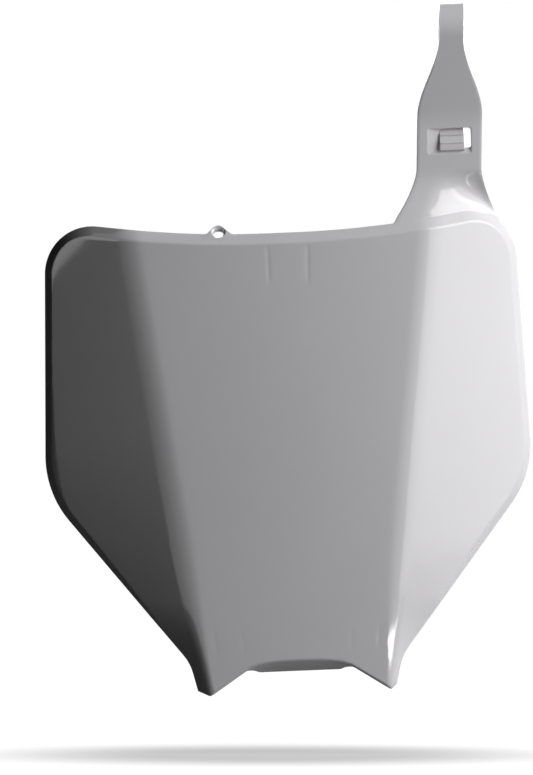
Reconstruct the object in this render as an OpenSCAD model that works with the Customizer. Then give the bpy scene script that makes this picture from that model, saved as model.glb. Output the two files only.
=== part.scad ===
// Racing number board for the front of an off-road motorcycle, in millimetres.
// It is one moulding: a creased face with a turned-back rim, a bolt lug on the top rim,
// and a strap that loops back round the handlebar into a window in its own leg.
// Up is +Z, the face looks along -Y, and the origin is the middle of the bolt hole's straight bore.
// Heights and depths below are measured from the middle of the hole's mouth, on the front of the rim.

/* [Outline] */
// Width where the lines of the sides meet the lines of the lower edges
corner_w = 245.8; // [225:0.2:270]
// Depth of those corners below the bolt hole
corner_drop = 127; // [105:1:145]
// Radius of the lower corners
corner_r = 50; // [20:1:60]
// Width where the lines of the sides meet the lines of the top edge
shoulder_w = 235; // [220:1:250]
// Height of those points above the bolt hole
shoulder_rise = 9.8; // [5:0.2:16]
// Radius of the shoulders
shoulder_r = 24; // [12:1:30]
// Depth of the top edge below the bolt hole, at the middle of the board
dip = 1.3; // [0.4:0.1:2.5]
// Radius of the hollow in the top edge
dip_r = 500; // [300:10:520]
// Width at the waist, where the lower edges turn down into the prongs
waist_w = 106.6; // [102:0.2:120]
// Depth of the waist below the bolt hole
waist_drop = 214.5; // [205:0.5:218]
// Radius at the waist
waist_r = 22; // [8:1:30]

/* [Prongs and notch] */
// Depth of the tips of the prongs below the bolt hole
prong_drop = 231.6; // [227:0.2:240]
// Width over the outer corners of the prongs
prong_w = 99.6; // [95:0.2:101]
// Width between the tips of the prongs
tip_w = 90; // [80:0.5:93]
// Height of the outer corners above the tips
tip_slant = 2.9; // [1:0.1:5]
// Width of the notch between the prongs
notch_w = 52.8; // [48:0.2:64]
// Depth of the notch below the bolt hole
notch_drop = 219.4; // [216:0.2:222]
// Width of the lip that hangs in the notch
lip_w = 40.6; // [30:0.2:44]
// Distance of the notch and the tips to the right of the middle of the board
notch_shift = 1.6; // [0:0.1:2.5]
// How far the lip hangs below the notch
lip_hang = 1.1; // [0.4:0.1:3]
// Height of the arched fold above the notch
lip_arch = 3.3; // [1:0.1:6]

/* [Face] */
// Thickness of the wall
wall = 2; // [1.4:0.1:3]
// Width between the two creases, level with the bolt hole
crease_w = 152; // [130:1:165]
// Width over which each crease turns, above the prongs
crease_turn = 14; // [6:1:20]
// Width over which it turns at the tips of the prongs
tip_turn = 5; // [3:0.5:12]
// Angle by which the flanks are folded back
flank_angle = 27; // [15:1:35]
// Angle of the flanks at the prongs
prong_angle = 45; // [25:1:52]
// Radius of the slight crown across the face
face_r = 900; // [600:10:3000]
// Radius of the slight crown of the flanks
flank_r = 520; // [350:10:2000]

/* [Rim] */
// Width of the turned-back rim
rim_w = 7; // [5:0.1:9]
// Angle by which the rim turns back from the panel that it borders
rim_angle = 40; // [25:1:48]
// Width that is left of the rim at the prongs
rim_end_w = 1.6; // [1.4:0.1:3]
// Radius of the fold between the panel and the rim
fold_r = 2.5; // [0.5:0.1:4]

/* [Bolt lug] */
// Distance of the bolt hole from the middle of the board
hole_offset = 30.4; // [10:0.2:40]
// Diameter of the bolt hole
hole_d = 5.5; // [4.3:0.1:6.4]
// Diameter of the countersink
sink_d = 7.4; // [7:0.1:8.4]
// Depth of the countersink
sink_h = 1; // [0.3:0.1:1.4]
// Height of the lug above the middle of the hole
lug_h = 4.7; // [4.6:0.1:8]
// Width of the lug at its foot
lug_w = 17; // [15:0.5:24]
// How far the lug stands in front of the rim
lug_proud = 0.2; // [0.1:0.05:0.6]
// How far the lug stands behind the rim
lug_back = 0.8; // [0.4:0.1:3]

/* [Back ribs] */
// Depth of the ribs on the back of the face
rib_h = 5; // [2:0.5:10]
// Thickness of a rib
rib_t = 1.2; // [0.8:0.1:2]
// Distance of the top pair from the middle of the board
top_pair_offset = 3.7; // [0:0.1:15]
// Distance between the two ribs of the top pair
top_pair_gap = 19.7; // [10:0.1:30]
// Length of the top ribs
top_rib_l = 17; // [8:1:30]
// Drop from the bolt hole to the top ends of the top ribs
top_rib_drop = 9; // [8.5:0.5:20]
// Distance of the lower pairs from the middle of the board
low_pair_offset = 34; // [30:0.5:36]
// Distance between the two ribs of a lower pair
low_pair_gap = 13.6; // [8:0.1:15]
// Length of the lower ribs
low_rib_l = 11; // [6:0.5:15]
// Distance from the notch up to the bottom ends of the lower ribs
low_rib_gap = 9.4; // [8:0.1:20]

/* [Strap] */
// Height of the top of the strap above the bolt hole
strap_h = 110.2; // [95:0.2:130]
// Distance from the middle of the strap's foot in to the shoulder line
strap_inset = 32.8; // [30:0.2:40]
// Angle by which the strap leans outwards
strap_lean = 3.1; // [0:0.1:6]
// Thickness of the strap
strap_t = 2; // [1.4:0.1:2.6]
// Width of the strap at its foot
foot_w = 55.5; // [44:0.5:58]
// Width of the strap at the window
strap_w = 32.6; // [27:0.2:38]
// Height above the bolt hole at which the flared foot ends
foot_h = 27; // [20:1:29]
// Distance that the strap stands back from the middle of its foot
strap_set = 5; // [1:0.5:8]
// Angle by which the strap leans forwards between the window and the loop
loop_lean = 16; // [0:1:20]

/* [Window and tail] */
// Height of the bottom of the window above the bolt hole
window_z = 34.9; // [31:0.1:40]
// Width of the window
window_w = 21.5; // [19:0.1:23]
// Height of the window
window_h = 12.6; // [11:0.1:14]
// Radius of the corners of the window
window_r = 1.2; // [0.5:0.1:2]
// Width of the ramp on the window's inboard side
ramp_w = 4; // [1:0.1:4]
// Height of the ramp on the window's bottom
ramp_h = 3; // [1:0.1:4]
// Width of the tail
tail_w = 12.2; // [10:0.1:13]
// Height above the bolt hole at which the strap starts to narrow to the tail
taper_z = 54; // [53:1:58]
// Height above the bolt hole at which the strap is as narrow as the tail
taper_end = 92; // [82:1:93]
// Distance of the tail's end from the middle of the window
tail_shift = 1.6; // [0:0.1:2]
// Inside radius of the loop over the handlebar
loop_r = 11.5; // [9:0.1:12]
// Clearance between the tail and the window
tail_gap = 0.5; // [0.3:0.1:0.8]
// How far the tip of the tail stands in front of the strap
tip_proud = 1.4; // [0.5:0.1:2]
// Distance between the ridges on the tail
ridge_pitch = 4.25; // [3:0.05:6]
// Height of the ridges
ridge_h = 0.5; // [0.2:0.1:0.8]

/* [Hidden] */

// Facets of round things, and steps along each round of the outline
$fn = 48;
round_steps = 8;
// Longest straight stretch between two rows of the face
row_step = 17;

// The creases run down to the tips of the prongs
crease_tip = tip_w / 2;
tip_z = -prong_drop;
// Height at which the rows of the face are level: they bend to the top and bottom edges from there
level_z = -corner_drop * 0.85;

// General helpers
function mix(a, b, t) = a + (b - a) * t;
function clamp(t) = max(0, min(1, t));
function smooth(t) = let (c = clamp(t)) c * c * (3 - 2 * c);
function angle_of(v) = atan2(v.y, v.x);
function turn(a, b) = let (d = b - a) d > 180 ? d - 360 : d < -180 ? d + 360 : d;

// A rounded corner at b between a and c, as [x, z, direction that faces out] points.
// The outline runs upwards on the right, so that it faces out to the right of its path.
function fillet(a, b, c, r) =
    let (
        u = (a - b) / norm(a - b),
        w = (c - b) / norm(c - b),
        half = acos(u * w) / 2,
        side = sign(cross(b - a, c - b)),
        middle = b + (u + w) / norm(u + w) * r / sin(half),
        from = angle_of(b + u * r / tan(half) - middle),
        to = angle_of(b + w * r / tan(half) - middle)
    )
    [for (i = [0 : round_steps])
        let (t = from + turn(from, to) * i / round_steps)
        [middle.x + r * cos(t), middle.y + r * sin(t), side > 0 ? t : t + (t > 0 ? -180 : 180)]];

// A straight run from p to q, without its ends, in steps no longer than row_step
function run(p, q) =
    let (n = ceil(norm([q.x - p.x, q.y - p.y]) / row_step))
    [for (i = [1 : 1 : n - 1]) mix(p, q, i / n)];

// The corners of the right half of the outline, before they are rounded
prong_corner = [prong_w / 2, tip_z + tip_slant];
waist = [waist_w / 2, -waist_drop];
low_corner = [corner_w / 2, -corner_drop];
shoulder = [shoulder_w / 2, shoulder_rise];
// Slope of the top edge between its hollow and the shoulders
top_slope = 0.155;
dip_corner = [shoulder.x - (shoulder.y + dip) / top_slope, -dip];
// Direction in which the outer corner of a prong faces
prong_facing = -35;

waist_arc = fillet(prong_corner, waist, low_corner, waist_r);
low_arc = fillet(waist, low_corner, shoulder, corner_r);
shoulder_arc = fillet(low_corner, shoulder, dip_corner, shoulder_r);
dip_arc = fillet(shoulder, dip_corner, [0, -dip], min(dip_r, dip_corner.x / tan(atan(top_slope) / 2)));

// The side of the outline, up to the middle of the shoulder, with one row of the face a point
side = concat(
    [[prong_corner.x, prong_corner.y, prong_facing]],
    waist_arc, run(waist_arc[round_steps], low_arc[0]),
    low_arc, run(low_arc[round_steps], shoulder_arc[0]),
    [for (i = [0 : round_steps / 2]) shoulder_arc[i]]);
rows = len(side);

// The top edge, from the middle outwards, looked up by the distance from the middle
top_edge = concat(
    [[0, -dip, 90]],
    [for (i = [round_steps : -1 : 0]) if (dip_arc[i].x > 1) dip_arc[i]],
    [for (i = [round_steps : -1 : 0]) shoulder_arc[i]]);
function top_z(x) = lookup(abs(x), [for (p = top_edge) [p.x, p.y]]);
function top_facing(x) =
    let (t = lookup(abs(x), [for (p = top_edge) [p.x, p.z]])) x < 0 ? 180 - t : t;

// The bottom edge, from the middle of the lip to the outer corner of a prong
notch_z = -notch_drop;
// Width over the steps that lead from the lip up to the notch
step_w = (lip_w + notch_w) / 2 - 0.8;
function bottom_z(x) = lookup(abs(x), [
    [0, notch_z - lip_hang],
    [lip_w / 2, notch_z - lip_hang],
    [step_w / 2, notch_z],
    [notch_w / 2, notch_z],
    [tip_w / 2, tip_z],
    prong_corner]);

// The face as a surface: its depth behind the plane of the middle, and its slopes
function crease_x(z) = mix(crease_tip, crease_w / 2, 1 + z / prong_drop);
crease_lean = (crease_w / 2 - crease_tip) / prong_drop;
// The flanks grow steeper towards the prongs, from this far above the waist and over this height
steepen_from = 30;
steepen_over = 40;
function fold_slope(z) =
    mix(tan(flank_angle), tan(prong_angle), smooth((steepen_from - z - waist_drop) / steepen_over));
// The creases grow sharper towards the tips, over this height
sharpen_over = 80;
function turn_at(z) = mix(tip_turn, crease_turn, smooth((z - tip_z) / sharpen_over));
// The creases follow the tips to the right over the lower part of the face
down_power = 3;
function shift_at(z) = notch_shift * pow(clamp((level_z - z) / (level_z - tip_z)), down_power);
function past_crease(x, z) = abs(x - shift_at(z)) - crease_x(z);
function crease_slope(x, z) =
    let (d = past_crease(x, z), half = turn_at(z) / 2)
    fold_slope(z) * clamp((d + half) / (2 * half)) + max(0, d - half) / flank_r;
function face_y(x, z) =
    let (d = past_crease(x, z), half = turn_at(z) / 2)
    x * x / (2 * face_r)
    + fold_slope(z) * (d > half ? d : pow(max(0, d + half), 2) / (4 * half))
    + pow(max(0, d - half), 2) / (2 * flank_r);
function slope_x(x, z) = x / face_r + sign(x - shift_at(z)) * crease_slope(x, z);
function slope_z(x, z) = -crease_lean * crease_slope(x, z);
function back_y(x, z) =
    face_y(x, z) + wall * sqrt(1 + pow(slope_x(x, z), 2) + pow(slope_z(x, z), 2));

// The rim is full down to a little below the lower corners, and fades from there to the waist
rim_full = 10;
function rim_at(z) =
    mix(rim_end_w, rim_w, smooth((z + waist_drop) / (waist_drop - corner_drop - rim_full)));

// The section of the rim at an outline point p that faces out along p.z.
// Its points are the panel's edge, the fold, the rim's start, the outer edge, the inner edge
// and the back fold. The rounding of the fold takes no more than a share of the rim.
steepest_rim = 80;
fold_share = 0.45;
function section(p, width) =
    let (
        nx = cos(p.z),
        nz = sin(p.z),
        slope = slope_x(p.x - nx * width, p.y) * nx + slope_z(p.x, p.y) * nz,
        panel = atan(slope),
        rim = min(panel + rim_angle, steepest_rim),
        bend = rim - panel,
        inset = width * cos(rim),
        fold = [p.x - nx * inset, p.y - nz * inset],
        fold_y = face_y(fold.x, fold.y),
        flat = min(fold_r * tan(bend / 2), width * fold_share),
        edge = -inset - flat * cos(panel),
        edge_y = face_y(p.x + nx * edge, p.y + nz * edge),
        start = -inset + flat * cos(rim),
        start_y = fold_y + flat * sin(rim),
        outer_y = fold_y + width * sin(rim),
        miter = wall / (1 + cos(bend)),
        back = -inset - miter * (sin(panel) + sin(rim)),
        inner = -wall * sin(rim)
    )
    [for (q = [
        [edge, edge_y],
        [(edge - 2 * inset + start) / 4, (edge_y + 2 * fold_y + start_y) / 4],
        [start, start_y],
        [0, outer_y],
        [inner, outer_y + wall * cos(rim)],
        [back, back_y(p.x + nx * back, p.y + nz * back)]])
        [p.x + nx * q.x, q.y, p.y + nz * q.x]];
section_points = 6;
front_ring = 0;
back_ring = 5;

// Columns of the face from the middle out: up to 1 is the share of the way to the crease,
// and from 1 to 2 is the share of the flank. The notch and the lip set the inner ones.
lip_share = lip_w / tip_w;
step_share = step_w / tip_w;
notch_share = notch_w / tip_w;
half_columns = concat(
    [0.33 * lip_share, 0.67 * lip_share, lip_share, step_share, notch_share],
    [for (t = [0.3, 0.58, 0.76, 0.88]) mix(notch_share, 1, t)],
    [1, 1.07, 1.15, 1.35, 1.6, 1.82, 2]);
columns = concat(
    [for (i = [len(half_columns) - 1 : -1 : 0]) -half_columns[i]], [0], half_columns);
last = len(columns) - 1;
function column_x(c, z, edge) =
    sign(c) * (abs(c) <= 1 ? abs(c) * crease_x(z) : mix(crease_x(z), edge, abs(c) - 1));

// The sections of the right and left sides, and of the bottom and top edges with one a column.
// The fold above the notch is an arch that is flatter than a round one.
side_sections = [for (p = side) section(p, rim_at(p.y))];
left_sections = [for (p = side) section([-p.x, p.y, 180 - p.z], rim_at(p.y))];
lip_rise = rim_end_w * cos(rim_angle);
arch_power = 3.5;
function lip_fold(x) =
    lip_arch * max(0, 1 - pow(abs(x) * 2 / notch_w, arch_power)) + notch_z + lip_rise;
function bottom_width(x) =
    max(rim_end_w, (lip_fold(x) - bottom_z(x)) / cos(rim_angle));
bottom_sections = [for (i = [0 : last])
    let (
        x = column_x(columns[i], tip_z, prong_corner.x),
        shifted = x + notch_shift * clamp(2 - abs(columns[i]))
    )
    i == 0 ? left_sections[0]
    : i == last ? side_sections[0]
    : section([shifted, bottom_z(x), -90], abs(x) < notch_w / 2 ? bottom_width(x) : rim_end_w)];
corner_point = side[rows - 1];
top_sections = [for (i = [0 : last])
    let (x = column_x(columns[i], corner_point.y, corner_point.x))
    i == 0 ? left_sections[rows - 1]
    : i == last ? side_sections[rows - 1]
    : section([x, top_z(x), top_facing(x)], rim_w)];

// The face or its back as rows of points that meet the ring k of the sections on all sides.
// The rows take up the shape of the top and bottom edges by these powers of the way there.
up_power = 2;
function panel(k) =
    let (
        ring = [for (s = side_sections) s[k]],
        z0 = ring[0].z,
        z1 = ring[rows - 1].z
    )
    [for (j = [0 : rows - 1]) [for (i = [0 : last])
        let (
            c = columns[i],
            z = ring[j].z,
            base = [column_x(c, z, ring[j].x), z],
            low = [column_x(c, z0, ring[0].x), z0],
            high = [column_x(c, z1, ring[rows - 1].x), z1],
            up = pow(clamp((z - level_z) / (z1 - level_z)), up_power),
            down = pow(clamp((level_z - z) / (level_z - z0)), down_power),
            t = top_sections[i][k],
            b = bottom_sections[i][k],
            p = base + up * ([t.x, t.z] - high) + down * ([b.x, b.z] - low)
        )
        j == 0 ? b
        : j == rows - 1 ? t
        : i == 0 ? left_sections[j][k]
        : i == last ? ring[j]
        : [p.x, k == front_ring ? face_y(p.x, p.y) : back_y(p.x, p.y), p.y]]];

// The loop of sections once round the board, starting at the bottom left
loop_sections = concat(
    bottom_sections,
    [for (j = [1 : rows - 1]) side_sections[j]],
    [for (i = [last - 1 : -1 : 0]) top_sections[i]],
    [for (j = [rows - 2 : -1 : 1]) left_sections[j]]);
function loop_place(n) =
    let (a = last, b = a + rows - 1, c = b + last)
    n <= a ? [0, n]
    : n <= b ? [n - a, last]
    : n <= c ? [rows - 1, c - n]
    : [rows - 1 - (n - c), 0];

// Triangles of the quadrilateral a b c d
function quad(a, b, c, d) = [[a, b, c], [a, c, d]];
function flat_list(lists) = [for (l = lists) for (e = l) e];

module board_shell() {
    across = last + 1;
    count = across * rows;
    around = len(loop_sections);
    middle_rings = section_points - 2;
    points = concat(
        flat_list(panel(front_ring)),
        flat_list(panel(back_ring)),
        flat_list([for (s = loop_sections) [for (k = [1 : middle_rings]) s[k]]]));
    function at(j, i) = j * across + i;
    function ring_point(n, k) =
        let (m = n % around, place = loop_place(m))
        k == front_ring ? at(place[0], place[1])
        : k == back_ring ? count + at(place[0], place[1])
        : 2 * count + m * middle_rings + k - 1;
    faces = concat(
        [for (j = [0 : rows - 2]) for (i = [0 : last - 1])
            for (f = quad(at(j, i), at(j + 1, i), at(j + 1, i + 1), at(j, i + 1))) f],
        [for (j = [0 : rows - 2]) for (i = [0 : last - 1])
            for (f = quad(at(j, i), at(j, i + 1), at(j + 1, i + 1), at(j + 1, i))) f + count * [1, 1, 1]],
        [for (n = [0 : around - 1]) for (k = [0 : section_points - 2])
            for (f = quad(ring_point(n, k), ring_point(n + 1, k),
                          ring_point(n + 1, k + 1), ring_point(n, k + 1))) f]);
    polyhedron(points, faces, convexity = 10);
}

// The bolt hole stands square to the rim, just above its outer edge. Its straight bore
// runs from the bottom of the countersink to the back of the lug.
hole_section = section([-hole_offset, top_z(hole_offset), top_facing(-hole_offset)], rim_w);
hole_panel = atan(slope_z(-hole_offset, 0));
hole_tilt = hole_panel + rim_angle;
hole_y = hole_section[3].y - hole_section[3].z * tan(hole_tilt);
lug_t = wall + lug_proud + lug_back;
bore_middle = (wall + lug_back + sink_h - lug_proud) / 2;

// Places its children with x and y in the plane of the rim's front, and z forwards out of it
module on_rim() {
    translate([-hole_offset, hole_y, 0]) rotate([90 - hole_tilt, 0, 0]) children();
}

// The lug is a hump over the hole, on a skirt that lies inside the rim
module bolt_lug() {
    skirt = 3;
    foot = hole_section[3].z / cos(hole_tilt) - 0.4;
    steps = 16;
    on_rim() translate([0, 0, -wall - lug_back])
        linear_extrude(lug_t) polygon(concat(
            [for (i = [0 : steps])
                let (x = lug_w * (i / steps - 0.5))
                [x, mix(foot, lug_h, pow(cos(180 * x / lug_w), 2))]],
            [[lug_w / 2, foot - skirt], [-lug_w / 2, foot - skirt]]));
}

module bolt_hole() {
    over = 5;
    on_rim() {
        translate([0, 0, -wall - lug_back - over]) cylinder(d = hole_d, h = lug_t + 2 * over);
        translate([0, 0, lug_proud - sink_h])
            cylinder(d1 = hole_d, d2 = mix(hole_d, sink_d, (sink_h + over) / sink_h), h = sink_h + over);
    }
}

// One rib on the back of the face, from its top end at [x, z] down. Its root lies inside the wall.
module back_rib(x, z, length) {
    root = wall * 0.4;
    translate([x - rib_t / 2, face_y(x, z - length / 2) + wall - root, z - length])
        cube([rib_t, rib_h + root, length]);
}

module back_ribs() {
    low_top = -notch_drop + low_rib_gap + low_rib_l;
    for (s = [-1, 1]) {
        back_rib(top_pair_offset + s * top_pair_gap / 2, -top_rib_drop, top_rib_l);
        for (t = [-1, 1])
            back_rib(
                shift_at(low_top) + t * (low_pair_offset + s * low_pair_gap / 2), low_top, low_rib_l);
    }
}

// The strap's leg: its middle line, its width and the depth of its front at a height z
strap_x = shoulder_w / 2 - strap_inset;
function leg_x(z) = strap_x + z * tan(strap_lean);
function leg_width(z) =
    z < foot_h ? strap_w + (foot_w - strap_w) * pow(1 - max(0, z) / foot_h, 1.5)
    : mix(strap_w, tail_w, smooth((z - taper_z) / (taper_end_z - taper_z)));
loop_outer = loop_r + strap_t;
arch_z = strap_h - loop_outer;
leg_top_z = arch_z - loop_outer * sin(loop_lean);
taper_end_z = min(taper_end, leg_top_z - 1);
function foot_section(x) = section([x, top_z(x), top_facing(x)], rim_w);
foot_y = foot_section(strap_x)[3].y;
leg_y = foot_y + strap_set;

// Just over the window the leg bends forwards, over the height bend_l, and is straight from there
bend_z = window_z + window_h + 0.5;
bend_l = 8;
function lean_at(z) = atan(tan(loop_lean) * clamp((z - bend_z) / bend_l));
function leg_front(z) =
    let (over = max(0, z - bend_z))
    leg_y - tan(loop_lean) * (over < bend_l ? over * over / (2 * bend_l) : over - bend_l / 2);

// Rows of the leg. The first lies inside the rim's wall, and the next leaves its outer edge.
// The foot covers these shares of the edge's thickness, and leans back by foot_slope at first.
root_depth = 1.2;
foot_front = 0.15;
foot_cover = 0.75;
root_cover = 0.7;
foot_slope = 0.2;
leg_columns = 8;
leg_levels = concat(
    [-1, 0],
    [for (t = [0.08, 0.2, 0.35, 0.5, 0.65, 0.82]) t * foot_h],
    [foot_h],
    [for (i = [1 : 3]) mix(foot_h, bend_z, i / 3)],
    [for (i = [1 : 12]) mix(bend_z, leg_top_z, i / 12)]);
function leg_point(level, i) =
    let (
        z = max(0, level),
        share = i / leg_columns - 0.5,
        x0 = strap_x + share * foot_w,
        root = foot_section(x0),
        outer = root[3],
        inner = root[4],
        start = mix(outer, inner, foot_front),
        t = smooth(z / foot_h),
        rise = mix(start.z, 0, clamp(z / foot_h)) + z,
        y = mix(start.y + z * foot_slope, leg_front(z), t)
    )
    level < 0 ? start + (root[2] - outer) / norm(root[2] - outer) * root_depth
    : [leg_x(z) + share * leg_width(z), y, rise];

module strap_leg() {
    ring = 2 * (leg_columns + 1);
    points = flat_list([for (level = leg_levels) concat(
        [for (i = [0 : leg_columns]) leg_point(level, i)],
        [for (i = [leg_columns : -1 : 0])
            let (p = leg_point(level, i), root = foot_section(strap_x + (i / leg_columns - 0.5) * foot_w))
            level < 0 ? p + (root[4] - root[3]) * root_cover
            : level == 0 ? p + (root[4] - root[3]) * foot_cover
            : p + strap_t * [0, cos(lean_at(level)), sin(lean_at(level))]])]);
    swept(points, ring);
}

// A solid through rings of the same number of points, half of them along the front
// and the other half back along the other side
module swept(points, ring) {
    rings = len(points) / ring;
    faces = concat(
        [for (j = [0 : rings - 2]) for (i = [0 : ring - 1])
            for (f = quad(j * ring + i, (j + 1) * ring + i,
                          (j + 1) * ring + (i + 1) % ring, j * ring + (i + 1) % ring)) f],
        [for (i = [0 : ring / 2 - 2])
            for (f = quad(i, i + 1, ring - 2 - i, ring - 1 - i)) f],
        [for (i = [0 : ring / 2 - 2])
            for (f = quad(i, ring - 1 - i, ring - 2 - i, i + 1)) f + (rings - 1) * ring * [1, 1, 1]]);
    polyhedron(points, faces, convexity = 10);
}

// The window in the leg, with a ramp on its inboard side and on its bottom
window_mid = window_z + window_h / 2;
ramp_depth = strap_t + tail_gap / 2;
thin = 0.01;
module strap_window() {
    over = 1;
    front = [leg_x(window_mid) - window_w / 2, window_z, window_w, window_h];
    back = [front.x + ramp_w, front.y + ramp_h, window_w - ramp_w, window_h - ramp_h];
    hull() {
        window_slice(front, leg_y - over);
        window_slice(front, leg_y);
        window_slice(back, leg_y + ramp_depth);
    }
    hull() {
        window_slice(back, leg_y + ramp_depth - thin);
        window_slice(back, leg_y + ramp_depth + over);
    }
}

// A thin rounded rectangle [x, z, width, height] across the way through the window
module window_slice(r, y) {
    translate([r[0] + r[2] / 2, y, r[1] + r[3] / 2]) rotate([90, 0, 0])
        linear_extrude(thin) hull()
            for (sx = [-1, 1]) for (sz = [-1, 1])
                translate([sx * (r[2] / 2 - window_r), sz * (r[3] / 2 - window_r)])
                    circle(window_r, $fn = 24);
}

// The tail goes over the handlebar, down behind it, and forwards into the window.
// Its path is the outside of the loop, as [depth, height, direction that faces out, what the
// thickness gains there]. It leaves the loop at tail_slant, and is straight from the gate,
// just over the window, to the tip, which stands clear of the ramp on the window's bottom.
// The further the leg leans forwards, the less the tail slants.
tail_slant = 25 - 1.1 * loop_lean;
gate = [leg_y + 2 * strap_t + tail_gap * 1.2, window_z + window_h + 1];
tip = [leg_y + strap_t - tip_proud,
    window_z + tail_gap + ramp_h * (strap_t - tip_proud) / ramp_depth];
arch_middle = [leg_front(leg_top_z) + loop_outer * cos(loop_lean), arch_z];
arch_end = arch_middle + loop_outer * [cos(tail_slant), -sin(tail_slant)];
gate_facing = atan2(gate.x - tip.x, gate.y - tip.y);
// Half the width of a ridge, how far the first one is from the tip, and how much the tip is thinned
ridge_side = 0.7;
ridge_first = 3.5;
tip_thinned = 0.4;
function tail_run(t) =
    let (
        reach = norm(gate - arch_end) / 3,
        a = arch_end + reach * [-sin(tail_slant), -cos(tail_slant)],
        b = gate + reach * [sin(gate_facing), cos(gate_facing)],
        u = 1 - t
    )
    u * u * u * arch_end + 3 * u * u * t * a + 3 * u * t * t * b + t * t * t * gate;
tail_end_l = norm(gate - tip);
arch_steps = 16;
ridge_at = [for (k = [2 : -1 : 0]) tail_end_l - ridge_first - k * ridge_pitch];
tail_path = concat(
    [for (i = [0 : arch_steps])
        let (t = mix(180 + loop_lean, -tail_slant, i / arch_steps))
        [each arch_middle + loop_outer * [cos(t), sin(t)], t, 0]],
    [for (i = [1 : 5]) [each tail_run(i / 6), mix(-tail_slant, -gate_facing, i / 6), 0]],
    [for (k = [0 : 2]) if (ridge_at[k] > 2 * ridge_side) for (s = [-1, 0, 1])
        let (l = ridge_at[k] + s * ridge_side)
        [each mix(gate, tip, l / tail_end_l), -gate_facing, s == 0 ? ridge_h : 0]],
    [[each tip, -gate_facing, -tip_thinned]]);

module strap_tail() {
    n = len(tail_path) - 1;
    points = flat_list([for (i = [0 : n])
        let (
            p = tail_path[i],
            outside = [p.x, p.y],
            inside = outside - (strap_t + p[3]) * [cos(p.z), sin(p.z)],
            way = clamp((i - arch_steps) / (n - arch_steps)),
            x = leg_x(p.y) + tail_shift * way
        )
        [
            [x - tail_w / 2, outside.x, outside.y],
            [x + tail_w / 2, outside.x, outside.y],
            [x + tail_w / 2, inside.x, inside.y],
            [x - tail_w / 2, inside.x, inside.y]
        ]]);
    swept(points, 4);
}

module number_board() {
    to_origin = [hole_offset, -hole_y, 0] + bore_middle * [0, -cos(hole_tilt), sin(hole_tilt)];
    color("gainsboro") translate(to_origin) {
        difference() {
            union() {
                board_shell();
                back_ribs();
                bolt_lug();
                strap_leg();
            }
            bolt_hole();
            strap_window();
        }
        strap_tail();
    }
}

number_board();
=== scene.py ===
import math

import bpy
import numpy as np
from mathutils import Matrix, Vector


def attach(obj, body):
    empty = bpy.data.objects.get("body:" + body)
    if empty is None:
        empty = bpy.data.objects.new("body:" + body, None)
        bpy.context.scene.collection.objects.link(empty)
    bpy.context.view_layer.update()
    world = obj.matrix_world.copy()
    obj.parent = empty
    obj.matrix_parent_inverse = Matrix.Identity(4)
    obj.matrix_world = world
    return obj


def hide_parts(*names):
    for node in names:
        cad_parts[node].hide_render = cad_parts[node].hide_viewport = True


# Looks of the racing number board. One finer mesh of the same form as the part's solid
# stands for it, in gloss white plastic, on a pale floor under soft lights from the right.
# Lengths are in millimetres, in the frame of the part's source, until a mesh is made.

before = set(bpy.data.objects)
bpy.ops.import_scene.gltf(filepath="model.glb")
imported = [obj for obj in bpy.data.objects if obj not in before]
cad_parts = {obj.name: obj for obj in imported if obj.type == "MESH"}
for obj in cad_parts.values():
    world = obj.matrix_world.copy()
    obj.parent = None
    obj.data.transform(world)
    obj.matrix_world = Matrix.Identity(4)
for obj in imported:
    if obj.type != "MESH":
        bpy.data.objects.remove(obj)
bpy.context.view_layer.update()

# Sizes of the board, as in the part's source. The turn of the side rims, the window's ramp, the
# ridges' height and the lug's front differ a little, to follow the photograph more closely.
CORNER_W, CORNER_DROP, CORNER_R = 245.8, 127, 50
SHOULDER_W, SHOULDER_RISE, SHOULDER_R = 235, 9.8, 24
DIP, DIP_R, TOP_SLOPE = 1.3, 500, 0.155
WAIST_W, WAIST_DROP, WAIST_R = 106.6, 214.5, 22
PRONG_DROP, PRONG_W, TIP_W, TIP_SLANT = 231.6, 99.6, 90, 2.9
NOTCH_W, NOTCH_DROP, NOTCH_SHIFT = 52.8, 219.4, 1.6
LIP_W, LIP_HANG, LIP_ARCH = 40.6, 1.1, 3.3
LIP_STEP_W = (LIP_W + NOTCH_W) / 2 - 0.8
WALL = 2
CREASE_W, CREASE_TURN, TIP_TURN, SHARPEN_OVER = 152, 14, 5, 80
CREASE_LEAN = (CREASE_W - TIP_W) / 2 / PRONG_DROP
FLANK_ANGLE, PRONG_ANGLE = math.radians(27), math.radians(45)
STEEPER_OVER, STEEPER_FROM = 40, 30 - WAIST_DROP
FACE_R, FLANK_R = 900, 520
LEVEL_Z = -CORNER_DROP * 0.85
RIM_W, RIM_END_W, RIM_ANGLE, FOLD_R = 7, 1.6, math.radians(40), 2.5
SIDE_RIM_ANGLE, STEEPEST_RIM, PRONG_FACING = (math.radians(a) for a in (26, 80, -35))
HOLE_OFFSET, HOLE_D, MOUTH_D, MOUTH_H = 30.4, 5.5, 7.4, 1
LUG_H, LUG_W, LUG_PROUD, LUG_BACK = 4.7, 17, 0.2, 0.8
LUG_FRONT, LUG_SUNK, LUG_SKIRT = LUG_PROUD * 0.3, 0.4, 3.0
RIB_H, RIB_T = 5, 1.2
TOP_PAIR_OFFSET, TOP_PAIR_GAP, TOP_RIB_L, TOP_RIB_DROP = 3.7, 19.7, 17, 9
LOW_PAIR_OFFSET, LOW_PAIR_GAP, LOW_RIB_L, LOW_RIB_GAP = 34, 13.6, 11, 9.4
LOW_RIB_TOP = LOW_RIB_GAP + LOW_RIB_L - NOTCH_DROP
STRAP_H, STRAP_INSET, STRAP_LEAN, STRAP_T = 110.2, 32.8, math.radians(3.1), 2
LOOP_LEAN, BEND_L = math.radians(16), 8
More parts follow.
